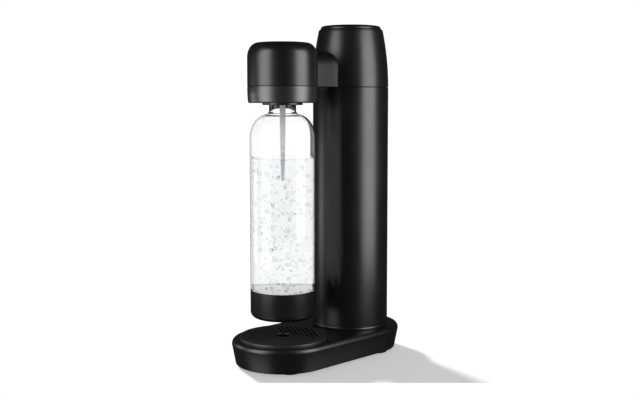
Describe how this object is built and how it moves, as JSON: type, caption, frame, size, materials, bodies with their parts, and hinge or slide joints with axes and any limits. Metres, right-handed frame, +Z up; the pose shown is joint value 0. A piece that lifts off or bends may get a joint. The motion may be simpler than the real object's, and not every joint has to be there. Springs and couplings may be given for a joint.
{
  "type": "soda carbonator",
  "caption": "Countertop soda carbonator: stadium base with lift-out drip tray, gas-cylinder tower with press button, and a tilting screw-in bottle.",
  "frame": {"origin": "centre of the footprint at the table", "axes": "+Z up; -Y towards the bottle and the user, +Y towards the gas tower; +X to the right seen from the back"},
  "size_m": [0.1268, 0.2478, 0.4216],
  "materials": {
    "black_shell": "near-black satin moulded plastic",
    "black_trim": "dark satin band with a brighter sheen",
    "black_tray": "matt black",
    "inner_plastic": "dark grey, as moulded",
    "pale_plastic": "light grey, semi-gloss",
    "rubber_foot": "matt black rubber",
    "seal_rubber": "dark red silicone rubber",
    "clear_plastic": "clear",
    "water": "clear sparkling water",
    "steel": "zinc-plated steel",
    "cylinder_paint": "grey metallic paint",
    "brass": "machined brass",
    "hose": "dark reinforced hose"
  },
  "bodies": {
    "machine": {"base_shell": "black_shell", "base_plate": "inner_plastic", "foot_front_right": "rubber_foot", "foot_front_left": "rubber_foot", "foot_rear_right": "rubber_foot", "foot_rear_left": "rubber_foot", "base_screw_1": "steel", "base_screw_2": "steel", "base_screw_3": "steel", "base_screw_4": "steel", "cylinder_cup": "inner_plastic", "tower_shell": "black_shell", "upper_cover": "black_shell", "tower_frame": "inner_plastic", "bridge_frame": "inner_plastic", "arm_shell": "black_shell", "button_guide": "inner_plastic", "button_spring": "steel", "lever_pin": "steel", "valve_block": "pale_plastic", "block_screw_right": "steel", "block_screw_left": "steel", "valve_seal": "seal_rubber", "gas_hose": "hose", "outlet_nut": "brass", "swivel_elbow": "pale_plastic", "head_cap": "black_shell", "head_band": "black_trim", "head_floor": "black_shell", "head_screw_right": "steel", "head_screw_left": "steel"},
    "tray": {"drip_tray": "black_tray"},
    "grille": {"drip_grille": "black_tray"},
    "rear_panel": {"rear_cover": "black_shell", "cover_latch": "black_trim"},
    "button": {"carbonation_button": "black_shell", "button_plunger": "pale_plastic"},
    "lever": {"actuator_lever": "pale_plastic"},
    "rod": {"actuator_rod": "steel"},
    "cylinder_travel": {"valve_spring": "steel"},
    "cylinder": {"co2_cylinder": "cylinder_paint", "cylinder_valve": "brass"},
    "pin": {"valve_pin": "steel"},
    "connector": {"bottle_connector": "black_shell", "trunnion_right": "steel", "trunnion_left": "steel", "nozzle_holder": "pale_plastic", "nozzle": "pale_plastic", "bottle_seal": "seal_rubber", "relief_body": "pale_plastic", "relief_spring": "steel"},
    "relief": {"relief_poppet": "steel"},
    "water_body": {"water": "water"},
    "bottle_body": {"bottle": "clear_plastic", "bottle_cup": "black_shell"}
  },
  "joints": [
    {"name": "tray_lift", "type": "slide", "parent": "machine", "child": "tray", "axis": [0, 0, 1], "range_m": [0, 0.011]},
    {"name": "grille_lift", "type": "slide", "parent": "tray", "child": "grille", "axis": [0, 0, 1], "range_m": [0, 0.008]},
    {"name": "rear_panel_pull", "type": "slide", "parent": "machine", "child": "rear_panel", "axis": [0, 1, 0], "range_m": [0, 0.06]},
    {"name": "button_press", "type": "slide", "parent": "machine", "child": "button", "axis": [0, 0, -1], "range_m": [0, 0.006], "stiffness_N_per_m": 600, "springref_m": -0.004, "deforming": ["button_spring"]},
    {"name": "lever_tip", "type": "hinge", "parent": "machine", "child": "lever", "pos_m": [0, 0.0745, 0.3855], "axis": [1, 0, 0], "range_deg": [0, 9.6]},
    {"name": "rod_press", "type": "slide", "parent": "machine", "child": "rod", "axis": [0, 0, -1], "range_m": [0, 0.00234]},
    {"name": "cylinder_drop", "type": "slide", "parent": "machine", "child": "cylinder_travel", "axis": [0, 0, -1], "range_m": [0, 0.012]},
    {"name": "cylinder_turn", "type": "hinge", "parent": "cylinder_travel", "child": "cylinder", "pos_m": [0, 0.0605, 0.3], "axis": [0, 0, -1], "range_deg": [0, 1081]},
    {"name": "pin_press", "type": "slide", "parent": "cylinder", "child": "pin", "axis": [0, 0, -1], "range_m": [0, 0.00234], "deforming": ["valve_spring"]},
    {"name": "connector_tilt", "type": "hinge", "parent": "machine", "child": "connector", "pos_m": [0, -0.0605, 0.3545], "axis": [-1, 0, 0], "range_deg": [0, 20]},
    {"name": "relief_lift", "type": "slide", "parent": "connector", "child": "relief", "axis": [0, 0, 1], "range_m": [0, 0.0012], "stiffness_N_per_m": 1500, "springref_m": -0.002, "deforming": ["relief_spring"]},
    {"name": "bottle_drop", "type": "slide", "parent": "connector", "child": "water_body", "axis": [0, 0, -1], "range_m": [0, 0.006]},
    {"name": "bottle_turn", "type": "hinge", "parent": "water_body", "child": "bottle_body", "pos_m": [0, -0.0605, 0.3], "axis": [0, 0, -1], "range_deg": [0, 541]}
  ],
  "couplings": [
    {"joint": "lever_tip", "follows": "button_press", "rad_per_m": 27.778},
    {"joint": "rod_press", "follows": "button_press", "ratio": 0.38889},
    {"joint": "pin_press", "follows": "button_press", "ratio": 0.38889},
    {"joint": "cylinder_turn", "follows": "cylinder_drop", "rad_per_m": 1570.8},
    {"joint": "bottle_turn", "follows": "bottle_drop", "rad_per_m": 1570.8}
  ]
}
